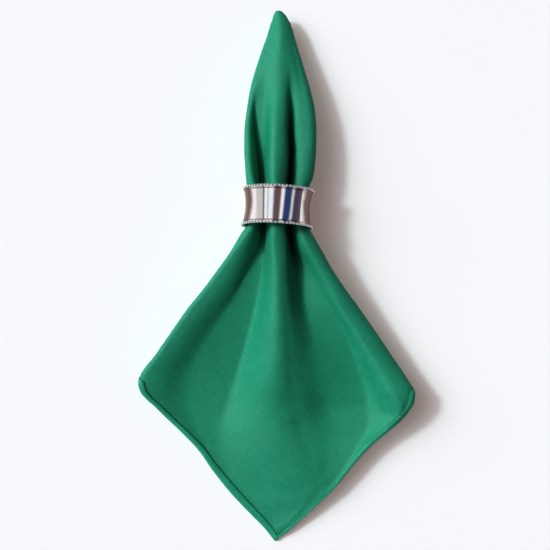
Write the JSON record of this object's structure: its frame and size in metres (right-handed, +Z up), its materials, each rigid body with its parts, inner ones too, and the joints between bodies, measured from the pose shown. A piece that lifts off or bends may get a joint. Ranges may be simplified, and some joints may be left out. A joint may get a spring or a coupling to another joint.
{
  "type": "linen napkin in a ring",
  "caption": "Square cloth napkin folded in quarters and drawn by its closed corner through a waisted metal napkin ring, fanning out below it.",
  "frame": {"origin": "middle of the whole object's box, on the table that it lies on", "axes": "+Z up from the table, +Y towards the napkin's closed corner, +X to the right seen from above"},
  "size_m": [0.1623, 0.315, 0.0437],
  "materials": {
    "linen": "matt plain-weave linen",
    "silver": "polished silver"
  },
  "bodies": {
    "root": {"napkin": "linen", "ring": "silver"}
  },
  "joints": []
}
